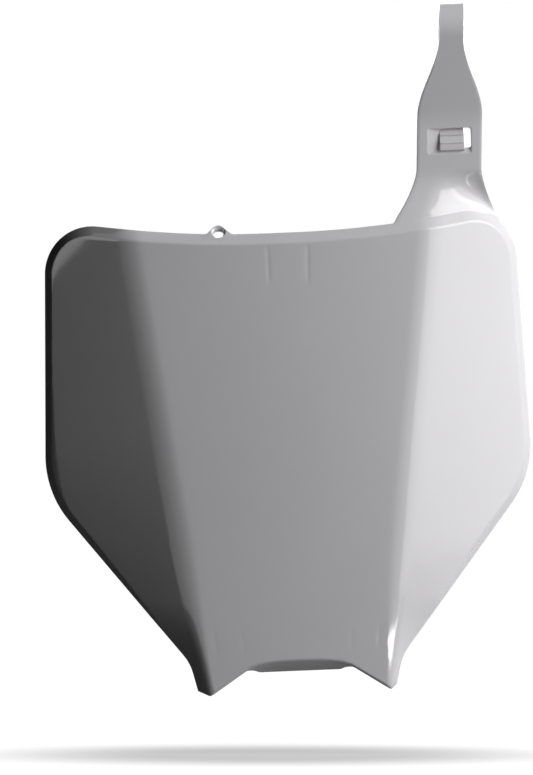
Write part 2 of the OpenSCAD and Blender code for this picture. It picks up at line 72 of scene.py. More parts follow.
FOOT_W, STRAP_W, FOOT_H, STRAP_SET = 55.5, 32.6, 27, 5
WINDOW_Z, WINDOW_W, WINDOW_H, WINDOW_R = 34.9, 21.5, 12.6, 1.2
RAMP_W, RAMP_H = 6.8, 3
TAIL_W, TAPER_Z, TAPER_END, TAIL_SHIFT = 12.2, 54, 92, 1.6
LOOP_R, TAIL_GAP, TIP_PROUD = 11.5, 0.5, 1.4
RIDGES, RIDGE_PITCH, RIDGE_H, RIDGE_SIDE, RIDGE_FIRST = 3, 4.25, 0.6, 0.7, 3.5
TIP_THINNED, THINNED_OVER = 0.4, 2
TAIL_SLANT = math.radians(25) - 1.1 * LOOP_LEAN

# Spacing of the finer mesh, and the radii that the solid leaves out
STEP, CLOSEST_COLUMNS = 1.4, 0.0052
EDGE_R, CORNER_EASE, BOTTOM_BLUR = 0.45, 0.4, 0.7
FOLD_STEPS, EDGE_STEPS, ARCH_STEPS, TAIL_STEPS, TIP_STEP = 7, 3, 48, 36, 0.25
OUTER_AT = FOLD_STEPS + 1
STRAP_SHARES = np.concatenate([[-0.5], np.linspace(-0.485, 0.485, 23), [0.5]])

# Sink marks over the ribs: half width, depth of the top pair and of the low ones, faded ends
SINK_WIDTH, TOP_SINK, LOW_SINK, SINK_FADE = 0.95, 0.13, 0.06, 3

MM = 0.001


def mix(a, b, t):
    return a + (b - a) * t


def smooth(t):
    c = np.clip(t, 0, 1)
    return c * c * (3 - 2 * c)


def unit(v):
    return v / np.linalg.norm(v)


# Outline

def fillet(a, b, c, r):
    """A rounded corner at b, as rows of x, z and the direction that faces out."""
    a, b, c = (np.array(p, float) for p in (a, b, c))
    u, w = unit(a - b), unit(c - b)
    half = math.acos(u @ w) / 2
    before, after = b - a, c - b
    convex = before[0] * after[1] - before[1] * after[0] > 0
    middle = b + unit(u + w) * r / math.sin(half)
    first = b + u * r / math.tan(half) - middle
    last = b + w * r / math.tan(half) - middle
    start = math.atan2(first[1], first[0])
    turn = (math.atan2(last[1], last[0]) - start + math.pi) % (2 * math.pi) - math.pi
    t = start + turn * np.linspace(0, 1, max(5, math.ceil(abs(turn) * r / STEP)) + 1)
    facing = t if convex else t + np.where(t > 0, -math.pi, math.pi)
    return np.stack([middle[0] + r * np.cos(t), middle[1] + r * np.sin(t), facing], axis=1)


def run(p, q):
    """The points of a straight stretch from p to q, without its ends."""
    n = math.ceil(np.linalg.norm(q[:2] - p[:2]) / STEP)
    return mix(p, q, np.arange(1, n)[:, None] / n)


prong_corner = np.array([PRONG_W / 2, TIP_SLANT - PRONG_DROP])
waist = [WAIST_W / 2, -WAIST_DROP]
low_corner = [CORNER_W / 2, -CORNER_DROP]
shoulder = [SHOULDER_W / 2, SHOULDER_RISE]
dip_corner = [shoulder[0] - (SHOULDER_RISE + DIP) / TOP_SLOPE, -DIP]
waist_arc = fillet(prong_corner, waist, low_corner, WAIST_R)
low_arc = fillet(waist, low_corner, shoulder, CORNER_R)
shoulder_arc = fillet(low_corner, shoulder, dip_corner, SHOULDER_R)
dip_arc = fillet(shoulder, dip_corner, [0, -DIP], DIP_R)
prong_end = np.array([*prong_corner, PRONG_FACING])
side = np.concatenate([
    [prong_end], run(prong_end, waist_arc[0]), waist_arc, run(waist_arc[-1], low_arc[0]),
    low_arc, run(low_arc[-1], shoulder_arc[0]), shoulder_arc[:len(shoulder_arc) // 2 + 1]])
top_edge = np.concatenate([
    [[0, -DIP, math.pi / 2]], dip_arc[::-1][dip_arc[::-1, 0] > 1], shoulder_arc[::-1]])
bottom_edge = np.array([
    [0, -NOTCH_DROP - LIP_HANG], [LIP_W / 2, -NOTCH_DROP - LIP_HANG],
    [LIP_STEP_W / 2, -NOTCH_DROP], [NOTCH_W / 2, -NOTCH_DROP],
    [TIP_W / 2, -PRONG_DROP], prong_corner])


def top_z(x):
    return np.interp(np.abs(x), top_edge[:, 0], top_edge[:, 1])


def top_facing(x):
    facing = np.interp(np.abs(x), top_edge[:, 0], top_edge[:, 2])
    return np.where(np.asarray(x) < 0, math.pi - facing, facing)


def bottom_z(x, blur=BOTTOM_BLUR):
    """The bottom edge, with its corners eased over a small width."""
    x = np.abs(x)
    eased = sum(np.interp(np.abs(x + blur * k), *bottom_edge.T) for k in (-1, -0.5, 0, 0.5, 1)) / 5
    return np.where(x > PRONG_W / 2 - blur, np.interp(x, *bottom_edge.T), eased)


# Face

def crease_x(z):
    return mix(TIP_W / 2, CREASE_W / 2, 1 + z / PRONG_DROP)


def fold_slope(z):
    steeper = smooth((STEEPER_FROM - z) / STEEPER_OVER)
    return mix(math.tan(FLANK_ANGLE), math.tan(PRONG_ANGLE), steeper)


def shift_at(z):
    """The creases follow the tips to the right over the lower part of the face."""
    return NOTCH_SHIFT * np.clip((LEVEL_Z - z) / (LEVEL_Z + PRONG_DROP), 0, 1) ** 3


def past_crease(x, z):
    return np.abs(x - shift_at(z)) - crease_x(z)


def half_turn(z):
    return mix(TIP_TURN, CREASE_TURN, smooth((z + PRONG_DROP) / SHARPEN_OVER)) / 2


def crease_slope(x, z):
    past = past_crease(x, z)
    half = half_turn(z)
    return (fold_slope(z) * np.clip((past + half) / (2 * half), 0, 1)
            + np.maximum(0, past - half) / FLANK_R)


def face_y(x, z):
    past = past_crease(x, z)
    half = half_turn(z)
    fold = np.where(past > half, past, np.maximum(0, past + half) ** 2 / (4 * half))
    return (x * x / (2 * FACE_R) + fold_slope(z) * fold
            + np.maximum(0, past - half) ** 2 / (2 * FLANK_R))


def slope_x(x, z):
    return x / FACE_R + np.sign(x - shift_at(z)) * crease_slope(x, z)


def slope_z(x, z):
    return -CREASE_LEAN * crease_slope(x, z)


def back_y(x, z):
    return face_y(x, z) + WALL * np.sqrt(1 + slope_x(x, z) ** 2 + slope_z(x, z) ** 2)


def rim_at(z):
    """The rim's width, which narrows from the corners down to the waists."""
    return mix(RIM_END_W, RIM_W, smooth((z + WAIST_DROP) / (WAIST_DROP - CORNER_DROP - 10)))


def sections(p, width):
    """The rim's section at each outline point of p: panel edge, fold, outer edge, back fold."""
    x, z, facing = p.T
    nx, nz = np.cos(facing), np.sin(facing)
    panel = np.arctan(slope_x(x - nx * width, z) * nx + slope_z(x, z) * nz)
    turned = mix(RIM_ANGLE, SIDE_RIM_ANGLE, smooth((np.abs(nx) - 0.5) / 0.5))
    rim = np.minimum(panel + turned, STEEPEST_RIM)
    bend = rim - panel
    inset = width * np.cos(rim)
    fold_y = face_y(x - nx * inset, z - nz * inset)
    flat = np.minimum(FOLD_R * np.tan(bend / 2), width * 0.45)
    radius = flat / np.tan(bend / 2)
    start = np.stack([-inset - flat * np.cos(panel), fold_y - flat * np.sin(panel)], axis=1)
    lift = face_y(x + nx * start[:, 0], z + nz * start[:, 0]) - start[:, 1]
    points = []
    for t in np.linspace(0, 1, FOLD_STEPS + 1):
        angle = panel + bend * t
        points.append(start + np.stack([
            radius * (np.sin(angle) - np.sin(panel)),
            radius * (np.cos(panel) - np.cos(angle)) + lift * (1 - t)], axis=1))
    along = np.stack([np.cos(rim), np.sin(rim)], axis=1)
    through = np.stack([-np.sin(rim), np.cos(rim)], axis=1)
    outer = np.stack([np.zeros(len(x)), fold_y + width * np.sin(rim)], axis=1)
    for t in np.linspace(0, math.pi / 2, EDGE_STEPS + 1):
        points.append(outer + EDGE_R * (along * (math.sin(t) - 1) + through * (1 - math.cos(t))))
    inner = outer + WALL * through
    for t in np.linspace(0, math.pi / 2, EDGE_STEPS + 1):
        points.append(inner + EDGE_R * (along * (math.cos(t) - 1) + through * (math.sin(t) - 1)))
    miter = WALL / (1 + np.cos(bend))
    back = -inset - miter * (np.sin(panel) + np.sin(rim))
    deep = back_y(x + nx * back, z + nz * back)
    corner = np.stack([back, deep], axis=1)
    points.append(corner + CORNER_EASE * along)
    edge = back - CORNER_EASE * np.cos(panel)
    points.append(np.stack([edge, back_y(x + nx * edge, z + nz * edge)], axis=1))
    q = np.stack(points, axis=1)
    return np.stack([
        x[:, None] + nx[:, None] * q[:, :, 0], q[:, :, 1], z[:, None] + nz[:, None] * q[:, :, 0]],
        axis=2)


def columns():
    """Shares of the half width, closer together at the creases and at the sink marks."""
    shares = list(np.linspace(0, 1, 36)) + list(np.linspace(1, 2, 30)[1:])
    shares += [s / TIP_W for s in (LIP_W, LIP_STEP_W, NOTCH_W)]
    shares += list(np.linspace(0.86, 1.16, 14))
    for share in sorted({abs(mark[0]) for mark in SINKS}):
        shares += list(share + np.linspace(-0.02, 0.02, 7))
    shares = np.unique(np.round([abs(s) for s in shares], 5))
    keep = [0]
    for s in shares[1:]:
        if s - keep[-1] > CLOSEST_COLUMNS:
            keep.append(s)
    keep[-1] = 2
    half = np.array(keep)
    return np.concatenate([-half[:0:-1], half])


def sink_marks():
    """Rows of the share of the way to the crease, the top end, the bottom end and the depth."""
    level = -TOP_RIB_DROP - TOP_RIB_L / 2
    low = LOW_RIB_TOP - LOW_RIB_L / 2
    marks = [[(TOP_PAIR_OFFSET + s * TOP_PAIR_GAP / 2) / crease_x(level),
              -TOP_RIB_DROP, -TOP_RIB_DROP - TOP_RIB_L, TOP_SINK] for s in (-1, 1)]
    for s in (-1, 1):
        for t in (-1, 1):
            marks.append([t * (LOW_PAIR_OFFSET + s * LOW_PAIR_GAP / 2) / crease_x(low),
                          LOW_RIB_TOP, LOW_RIB_TOP - LOW_RIB_L, LOW_SINK])
    return marks


SINKS = sink_marks()


def sink_depth(x, z):
    depth = 0
    for share, top, bottom, deep in SINKS:
        across = (x - shift_at(z) - share * crease_x(z)) / SINK_WIDTH
        along = smooth((top - z) / SINK_FADE + 0.5) * smooth((z - bottom) / SINK_FADE + 0.5)
        depth = depth + deep * np.exp(-across * across) * along
    return depth


def grid_faces(at):
    """Quads over an array of vertex numbers."""
    return np.stack([at[:-1, :-1], at[1:, :-1], at[1:, 1:], at[:-1, 1:]], axis=2).reshape(-1, 4)


def board_shell():
    """The face with its rim all round and the back of its wall, as one closed shell."""
    c = columns()
    rows, across = len(side), len(c)
    side_s = sections(side, rim_at(side[:, 1]))
    left = np.stack([-side[:, 0], side[:, 1], math.pi - side[:, 2]], axis=1)
    left_s = sections(left, rim_at(side[:, 1]))

    def column_x(z, edge):
        inner = np.abs(c) * crease_x(z)
        outer = mix(crease_x(z), edge, np.abs(c) - 1)
        return np.sign(c) * np.where(np.abs(c) <= 1, inner, outer)

    x = column_x(-PRONG_DROP, prong_corner[0])
    z = bottom_z(x)
    rise = RIM_END_W * math.cos(RIM_ANGLE)
    arch = LIP_ARCH * np.maximum(0, 1 - (np.abs(x) * 2 / NOTCH_W) ** 3.5)
    lip_w = (arch - NOTCH_DROP + rise - z) / math.cos(RIM_ANGLE)
    width = np.where(np.abs(x) < NOTCH_W / 2, np.maximum(RIM_END_W, lip_w), RIM_END_W)
    shifted = x + NOTCH_SHIFT * np.clip(2 - np.abs(c), 0, 1)
    bottom_s = sections(np.stack([shifted, z, np.full(across, -math.pi / 2)], axis=1), width)
    x = column_x(side[-1, 1], side[-1, 0])
    top_s = sections(np.stack([x, top_z(x), top_facing(x)], axis=1), np.full(across, RIM_W))
    for s, row in ((bottom_s, 0), (top_s, -1)):
        s[0] = left_s[row]
        s[-1] = side_s[row]

    def panel(k, depth_at):
        """The grid inside ring k of the sections, bent at its ends to meet them."""
        ring, low, high = side_s[:, k], bottom_s[:, k], top_s[:, k]
        z0, z1 = ring[0, 2], ring[-1, 2]
        points = np.zeros((rows, across, 3))
        first, final = column_x(z0, ring[0, 0]), column_x(z1, ring[-1, 0])
        for j in range(rows):
            zj = ring[j, 2]
            up = np.clip((zj - LEVEL_Z) / (z1 - LEVEL_Z), 0, 1) ** 2
            down = np.clip((LEVEL_Z - zj) / (LEVEL_Z - z0), 0, 1) ** 3
            points[j, :, 0] = (column_x(zj, ring[j, 0]) + up * (high[:, 0] - final)
                               + down * (low[:, 0] - first))
            points[j, :, 2] = zj + up * (high[:, 2] - z1) + down * (low[:, 2] - z0)
        points[:, :, 1] = depth_at(points[:, :, 0], points[:, :, 2])
        points[0], points[-1] = low, high
        points[:, 0], points[:, -1] = left_s[:, k], ring
        return points

    front = panel(0, lambda a, b: face_y(a, b) + sink_depth(a, b))
    back = panel(side_s.shape[1] - 1, back_y)
    loop = np.concatenate([
        bottom_s, side_s[1:], top_s[-2::-1], left_s[-2:0:-1]])
    middle = loop[:, 1:-1]
    points = np.concatenate([front.reshape(-1, 3), back.reshape(-1, 3), middle.reshape(-1, 3)])
    at_front = np.arange(rows * across).reshape(rows, across)
    at_back = at_front + rows * across
    at_middle = 2 * rows * across + np.arange(middle.shape[0] * middle.shape[1])
    at_middle = at_middle.reshape(middle.shape[:2])

    def around(at):
        return np.concatenate([at[0], at[1:, -1], at[-1, -2::-1], at[-2:0:-1, 0]])

    rings = np.concatenate(
        [around(at_front)[:, None], at_middle, around(at_back)[:, None]], axis=1)
    rings = np.concatenate([rings, rings[:1]])
    faces = np.concatenate([
        grid_faces(at_front)[:, ::-1], grid_faces(at_back), grid_faces(rings.T)])
    return solid("shell", points, faces)


# Meshes

def solid(name, points, faces):
    """A closed mesh from points in millimetres, turned so that its faces look outwards."""
    mesh = bpy.data.meshes.new(name)
    mesh.from_pydata([tuple(p) for p in points], [], [tuple(int(i) for i in f) for f in faces])
    mesh.update()
    made = bpy.data.objects.new(name, mesh)
    bpy.context.scene.collection.objects.link(made)
    if signed_volume(mesh) < 0:
        mesh.flip_normals()
    return made


def signed_volume(mesh):
    mesh.calc_loop_triangles()
    co = np.zeros(len(mesh.vertices) * 3)
    mesh.vertices.foreach_get("co", co)
    tri = np.zeros(len(mesh.loop_triangles) * 3, int)
    mesh.loop_triangles.foreach_get("vertices", tri)
    a, b, c = co.reshape(-1, 3)[tri.reshape(-1, 3)].transpose(1, 0, 2)
    return float(np.einsum("ij,ij->i", a, np.cross(b, c)).sum() / 6)


def lofted(name, rings):
    """A closed solid through rings of points, each with a flat or nearly flat end."""
    rings = np.array(rings, float)
    n, m = rings.shape[:2]
    at = np.arange(n * m).reshape(n, m)
    closed = np.concatenate([at, at[:, :1]], axis=1)
    faces = [tuple(f) for f in grid_faces(closed)]
    half = m // 2
    for row, flip in ((at[0], False), (at[-1], True)):
        for i in range(half - 1):
            quad = (row[i], row[i + 1], row[m - 2 - i], row[m - 1 - i])
            faces.append(quad[::-1] if flip else quad)
    return solid(name, rings.reshape(-1, 3), faces)


def combine(target, other, operation):
    """Joins other to target, or cuts it out, and removes other."""
    modifier = target.modifiers.new("combine", "BOOLEAN")
    modifier.operation = operation
    modifier.object = other
    modifier.solver = "MANIFOLD"
    bpy.context.view_layer.update()
    graph = bpy.context.evaluated_depsgraph_get()
    made = bpy.data.meshes.new_from_object(target.evaluated_get(graph))
    target.modifiers.clear()
    old = target.data
    target.data = made
    bpy.data.meshes.remove(old)
    cutter = other.data
    bpy.data.objects.remove(other)
    bpy.data.meshes.remove(cutter)


# Lug, hole and ribs

hole_section = sections(np.array([[-HOLE_OFFSET, top_z(HOLE_OFFSET), top_facing(-HOLE_OFFSET)]]),
                        np.array([RIM_W]))[0]
hole_tilt = math.atan(slope_z(-HOLE_OFFSET, 0)) + RIM_ANGLE
rim_outer = hole_section[OUTER_AT]
hole_y = rim_outer[1] - rim_outer[2] * math.tan(hole_tilt)
bore_middle = (WALL + LUG_BACK + MOUTH_H - LUG_PROUD) / 2


def on_rim(points):
    """From the rim's own plane, as x, up the rim and forwards out of it, to the board's frame."""
    x, up, out = np.asarray(points, float).T
    c, s = math.cos(hole_tilt), math.sin(hole_tilt)
    return np.stack([x - HOLE_OFFSET, hole_y + up * s - out * c, up * c + out * s], axis=1)


def offset_inwards(outline, distance):
    """A closed outline, counter-clockwise, moved in by a distance."""
    ahead, behind = np.roll(outline, -1, axis=0), np.roll(outline, 1, axis=0)
    along = ahead - behind
    along /= np.linalg.norm(along, axis=1)[:, None]
    return outline + distance * np.stack([-along[:, 1], along[:, 0]], axis=1)


def bolt_lug():
    """The hump on the top rim, with its root sunk in the rim."""
    foot = rim_outer[2] / math.cos(hole_tilt) - LUG_SUNK
    x = np.linspace(LUG_W / 2, -LUG_W / 2, 41)
    hump = np.stack([x, mix(foot, LUG_H, np.cos(math.pi * x / LUG_W) ** 2)], axis=1)
    skirt = np.stack([-x, np.full(len(x), foot - LUG_SKIRT)], axis=1)
    outline = np.concatenate([hump, skirt])
    front, back = LUG_FRONT, -WALL - LUG_BACK
    layers = [(EDGE_R * (1 - math.cos(t)), back + EDGE_R * (1 - math.sin(t)))
              for t in np.linspace(math.pi / 2, 0, 5)]
    layers += [(EDGE_R * (1 - math.cos(t)), front - EDGE_R * (1 - math.sin(t)))
               for t in np.linspace(0, math.pi / 2, 5)]
    rings = []
    for inset, out in layers:
        ring = offset_inwards(outline, inset)
        rings.append(on_rim(np.concatenate([ring, np.full((len(ring), 1), out)], axis=1)))
    return lofted("lug", rings)


def turned_cutter(profile, steps=64):
    """A round cutter on the hole's axis, through [radius, distance out of the rim] points."""
    t = np.linspace(0, 2 * math.pi, steps, endpoint=False)
    rings = [on_rim(np.stack([r * np.cos(t), r * np.sin(t), np.full(steps, out)], axis=1))
             for r, out in profile]
    return lofted("cutter", rings)


def bolt_hole():
    """The cutter of the straight bore, its countersunk mouth and the eased edge of that."""
    r, mouth, floor = HOLE_D / 2, MOUTH_D / 2, LUG_PROUD - MOUTH_H
    round_r = 0.12
    return turned_cutter([
        (r, -8), (r, floor), (mouth, LUG_PROUD - round_r), (mouth + round_r * 0.4, LUG_PROUD),
        (mouth + round_r * 1.2, LUG_PROUD + 0.2), (mouth + 1, LUG_PROUD + 4)])


def back_rib(x, top, length):
    """A rib with a rounded free edge, from its top end down, with its root inside the wall."""
    start = float(face_y(x, top - length / 2)) + WALL * 0.6
    deep = start + RIB_H + WALL * 0.4
    r = RIB_T * 0.3
    rings = []
    for z in (top - length, top):
        ring = [[x + RIB_T / 2, start, z]]
        ring += [[x + RIB_T / 2 - r + r * math.cos(t), deep - r + r * math.sin(t), z]
                 for t in np.linspace(0, math.pi / 2, 4)]
        ring += [[x - RIB_T / 2 + r - r * math.sin(t), deep - r + r * math.cos(t), z]
                 for t in np.linspace(0, math.pi / 2, 4)]
        ring += [[x - RIB_T / 2, start, z]]
        rings.append(ring)
    return lofted("rib", rings)


# Strap

strap_x = SHOULDER_W / 2 - STRAP_INSET
loop_outer = LOOP_R + STRAP_T
arch_z = STRAP_H - loop_outer
leg_top_z = arch_z - loop_outer * math.sin(LOOP_LEAN)
taper_end_z = min(TAPER_END, leg_top_z - 1)
window_mid = WINDOW_Z + WINDOW_H / 2
ramp_depth = STRAP_T + TAIL_GAP / 2


def leg_x(z):
    return strap_x + z * math.tan(STRAP_LEAN)


def leg_width(z):
    if z < FOOT_H:
        return STRAP_W + (FOOT_W - STRAP_W) * (1 - max(0, z) / FOOT_H) ** 1.5
    return mix(STRAP_W, TAIL_W, float(smooth((z - TAPER_Z) / (taper_end_z - TAPER_Z))))


def foot_sections(x):
    x = np.atleast_1d(np.asarray(x, float))
    return sections(np.stack([x, top_z(x), top_facing(x)], axis=1), np.full(len(x), RIM_W))


def rim_corners(x):
    """The sharp outer and inner corners of the rim's edge over x, and the way up the rim."""
    s = foot_sections(x)
    flange = s[:, OUTER_AT] - s[:, FOLD_STEPS]
    flange /= np.linalg.norm(flange, axis=1)[:, None]
    through = s[:, OUTER_AT + EDGE_STEPS] - s[:, OUTER_AT] - EDGE_R * flange
    through /= np.linalg.norm(through, axis=1)[:, None]
    outer = s[:, OUTER_AT] + EDGE_R * flange
    return outer, outer + WALL * through, flange


leg_y = float(rim_corners([strap_x])[0][0, 1]) + STRAP_SET
bend_z = WINDOW_Z + WINDOW_H + 0.5


def lean_at(z):
    return math.atan(math.tan(LOOP_LEAN) * min(1, max(0, (z - bend_z) / BEND_L)))


def leg_front(z):
    """Depth of the leg's front, which leans forwards over the window."""
    over = max(0, z - bend_z)
    bent = over * over / (2 * BEND_L) if over < BEND_L else over - BEND_L / 2
    return leg_y - math.tan(LOOP_LEAN) * bent


# Where the tail comes to the window from behind, and where its tip ends, as depth and height
gate = np.array([leg_y + 2 * STRAP_T + TAIL_GAP * 1.2, WINDOW_Z + WINDOW_H + 1])
tip = np.array([leg_y + STRAP_T - TIP_PROUD,
                WINDOW_Z + TAIL_GAP + RAMP_H * (STRAP_T - TIP_PROUD) / ramp_depth])


def rounded_ring(front, back):
    """A ring round a flat bar from its front edge points to its back ones, its edges eased."""
    on_side, on_corner, over_front = 0.28, 0.08, 0.35
    n = len(front)
    ring = []
    for a, b in ((front, back), (back[::-1], front[::-1])):
        ring.append(mix(a[0], b[0], on_side))
        ring.append(mix(mix(a[0], b[0], on_corner), a[1], over_front))
        ring.extend(a[1:n - 1])
        ring.append(mix(mix(a[-1], b[-1], on_corner), a[-2], over_front))
        ring.append(mix(a[-1], b[-1], on_side))
    return np.array(ring)


def leg_ring(z):
    """A ring across the leg. Below z = 0 it is the root of the foot, inside the rim."""
    x0 = strap_x + STRAP_SHARES * FOOT_W
    outer, inner, flange = rim_corners(x0)
    start = mix(outer, inner, 0.15)
    root = inner - outer
    if z < 0:
        front = start - flange * 1.2
        return rounded_ring(front, front + root * 0.7)
    t = float(smooth(z / FOOT_H))
    rise = mix(start[:, 2], 0, min(1, z / FOOT_H)) + z
    y = mix(start[:, 1] + z * 0.2, leg_front(z), t)
    front = np.stack([leg_x(z) + STRAP_SHARES * leg_width(z), y, rise], axis=1)
    lean = lean_at(z)
    back = STRAP_T * np.array([0, math.cos(lean), math.sin(lean)])
    thick = mix(root * 0.75, back, float(smooth(z / 4)))
    return rounded_ring(front, front + thick)


def tail_ring(x, outside, facing, extra):
    """A ring across the tail at a point of its outer side, in the same order as a leg ring."""
    away = np.array([math.cos(facing), math.sin(facing)])
    inside = outside - (STRAP_T + extra) * away
    across = x + STRAP_SHARES * TAIL_W
    front, back = (np.stack([across, np.full(len(across), y), np.full(len(across), z)], axis=1)
                   for y, z in (outside, inside))
    return rounded_ring(front, back)


def tail_stations():
    """The tail's path from the top of the leg to its tip: [depth, height, facing, extra]."""
    middle = np.array([leg_front(leg_top_z) + loop_outer * math.cos(LOOP_LEAN), arch_z])
    stations = []
    for t in np.linspace(math.pi + LOOP_LEAN, -TAIL_SLANT, ARCH_STEPS + 1):
        stations.append([*(middle + loop_outer * np.array([math.cos(t), math.sin(t)])), t, 0])
    end = middle + loop_outer * np.array([math.cos(TAIL_SLANT), -math.sin(TAIL_SLANT)])
    facing = math.atan2(gate[0] - tip[0], gate[1] - tip[1])
    reach = np.linalg.norm(gate - end) / 3
    a = end + reach * np.array([-math.sin(TAIL_SLANT), -math.cos(TAIL_SLANT)])
    b = gate + reach * np.array([math.sin(facing), math.cos(facing)])
    for t in np.linspace(0, 1, TAIL_STEPS + 1)[1:]:
        u = 1 - t
        p = u ** 3 * end + 3 * u * u * t * a + 3 * u * t * t * b + t ** 3 * gate
        stations.append([*p, mix(-TAIL_SLANT, -facing, t), 0])
    length = np.linalg.norm(gate - tip)
    for at in np.arange(TIP_STEP, length, TIP_STEP):
        ridges = sum(max(0.0, 1 - abs(length - RIDGE_FIRST - k * RIDGE_PITCH - at) / RIDGE_SIDE)
                     for k in range(RIDGES))
        thin = TIP_THINNED * max(0.0, 1 - (length - at) / THINNED_OVER)
        stations.append([*mix(gate, tip, at / length), -facing, RIDGE_H * min(1, ridges) - thin])
    stations.append([*tip, -facing, -TIP_THINNED])
    return stations


def tail_rings():
    stations = tail_stations()
    rings = []
    for i, (depth, height, facing, extra) in enumerate(stations):
        way = max(0, i - ARCH_STEPS) / (len(stations) - 1 - ARCH_STEPS)
        x = leg_x(height) + TAIL_SHIFT * way
        rings.append(tail_ring(x, np.array([depth, height]), facing, extra))
    return rings


def strap_parts():
    """The strap down to where its tail is behind the window, and the tail's end as a second solid.

    The two overlap by one step, in which the end is a hair thinner.
    """
    heights = np.concatenate([[-1], np.arange(0, 8, 0.5), np.arange(8, leg_top_z - 0.5, 1.25)])
    leg = [leg_ring(z) for z in heights]
    tail = tail_rings()
    split = ARCH_STEPS + TAIL_STEPS
    main = lofted("strap", leg + tail[:split])
    end = np.array(tail[split - 2:])
    middles = end.mean(axis=1, keepdims=True)
    end[:2] = middles[:2] + (end[:2] - middles[:2]) * 0.99
    return main, lofted("tail_end", end)


def rounded_rectangle(x, z, width, height, grow, steps=6):
    """Points round a rectangle whose corner is at x and z, moved outwards by grow."""
    r = WINDOW_R + grow
    points = []
    for k, (sx, sz) in enumerate(((1, 1), (-1, 1), (-1, -1), (1, -1))):
        middle = np.array([x + width / 2 + sx * (width / 2 - WINDOW_R),
                           z + height / 2 + sz * (height / 2 - WINDOW_R)])
        for t in np.linspace(0, math.pi / 2, steps):
            angle = t + k * math.pi / 2
            points.append(middle + r * np.array([math.cos(angle), math.sin(angle)]))
    return np.array(points)


def strap_window():
    """The cutter of the window, which narrows to the back by a ramp on its left and its bottom."""
    x, z = leg_x(window_mid) - WINDOW_W / 2, WINDOW_Z
    mouth = 0.35
    layers = [(-1.0, 0, mouth * 1.6), (0, 0, mouth), (mouth * 0.3, 0, mouth * 0.3),
              (mouth, mouth / ramp_depth, 0), (ramp_depth, 1, 0), (ramp_depth + 1, 1, 0)]
    rings = []
    for depth, way, grow in layers:
        ring = rounded_rectangle(x + RAMP_W * way, z + RAMP_H * way,
                                 WINDOW_W - RAMP_W * way, WINDOW_H - RAMP_H * way, grow)
        rings.append(np.stack([ring[:, 0], np.full(len(ring), leg_y + depth), ring[:, 1]], axis=1))
    return lofted("window", rings)


# Material

def ramp(material, source, low, high, start, end, curve="LINEAR"):
    """Node output that goes from start to end while source goes from low to high."""
    tree = material.node_tree
    made = tree.nodes.new("ShaderNodeMapRange")
    made.interpolation_type = curve
    sockets = ("From Min", "From Max", "To Min", "To Max")
    for socket, value in zip(sockets, (low, high, start, end)):
        made.inputs[socket].default_value = value
    tree.links.new(source, made.inputs["Value"])
    return made.outputs["Result"]


def moulded_plastic():
    """Gloss white plastic as moulded: a faint waviness, a finer grain and light handling marks."""
    material = bpy.data.materials.new("moulded_plastic")
    material.use_nodes = True
    nodes, links = material.node_tree.nodes, material.node_tree.links
    shader = nodes["Principled BSDF"]
    shader.inputs["IOR"].default_value = 1.52
    place = nodes.new("ShaderNodeTexCoord")

    def noise(scale, detail, roughness=0.5):
        made = nodes.new("ShaderNodeTexNoise")
        made.inputs["Scale"].default_value = scale
        made.inputs["Detail"].default_value = detail
        made.inputs["Roughness"].default_value = roughness
        links.new(place.outputs["Object"], made.inputs["Vector"])
        return made

    def bump(height, strength, distance):
        made = nodes.new("ShaderNodeBump")
        made.inputs["Strength"].default_value = strength
        made.inputs["Distance"].default_value = distance
        links.new(height.outputs["Fac"], made.inputs["Height"])
        return made

    cloud = noise(9, 3)
    tint = nodes.new("ShaderNodeMix")
    tint.data_type = "RGBA"
    tint.inputs["A"].default_value = (0.805, 0.79, 0.82, 1)
    tint.inputs["B"].default_value = (0.845, 0.83, 0.855, 1)
    links.new(ramp(material, cloud.outputs["Fac"], 0.3, 0.7, 0, 1), tint.inputs["Factor"])
    links.new(tint.outputs["Result"], shader.inputs["Base Color"])

    handling = noise(60, 4, 0.6)
    links.new(ramp(material, handling.outputs["Fac"], 0.35, 0.75, 0.045, 0.08),
              shader.inputs["Roughness"])

    wave = bump(noise(55, 2), 0.12, 0.0004)
    grain = bump(noise(900, 2), 0.06, 0.00006)
    links.new(wave.outputs["Normal"], grain.inputs["Normal"])
    links.new(grain.outputs["Normal"], shader.inputs["Normal"])
    return material


# The board

def to_frame(board):
    """Moves the finished mesh from the source's frame to the shared one, in metres."""
    c, s = math.cos(hole_tilt), math.sin(hole_tilt)
    origin = Vector((HOLE_OFFSET, -hole_y - bore_middle * c, bore_middle * s))
    board.data.transform(Matrix.Scale(MM, 4) @ Matrix.Translation(origin))


def number_board():
    board = board_shell()
    for s in (-1, 1):
        rib = back_rib(TOP_PAIR_OFFSET + s * TOP_PAIR_GAP / 2, -TOP_RIB_DROP, TOP_RIB_L)
        combine(board, rib, "UNION")
        for t in (-1, 1):
            x = float(shift_at(LOW_RIB_TOP)) + t * (LOW_PAIR_OFFSET + s * LOW_PAIR_GAP / 2)
            rib = back_rib(x, LOW_RIB_TOP, LOW_RIB_L)
            combine(board, rib, "UNION")
    strap, end = strap_parts()
    combine(strap, strap_window(), "DIFFERENCE")
    combine(board, bolt_lug(), "UNION")
    combine(board, strap, "UNION")
    combine(board, bolt_hole(), "DIFFERENCE")
    combine(board, end, "UNION")
    board.name = board.data.name = "moulded_board"
    to_frame(board)
    board.data.shade_smooth()
    board.data.set_sharp_from_angle(angle=math.radians(32))
    board.data.materials.clear()
    board.data.materials.append(moulded_plastic())
    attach(board, "root")
    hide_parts("number_board")


# Studio: camera, floor, lights and background

FRAME_H = 775
PIXEL = 0.5 * MM
ROLL = math.radians(2.3)
CAMERA_DISTANCE = 5.0
VIEW_MIDDLE = Vector((0.02091, 0.008, -0.07725))
FLOOR_Y, FLOOR_Z, FLOOR_R = 0.02, -0.2605, 1.6

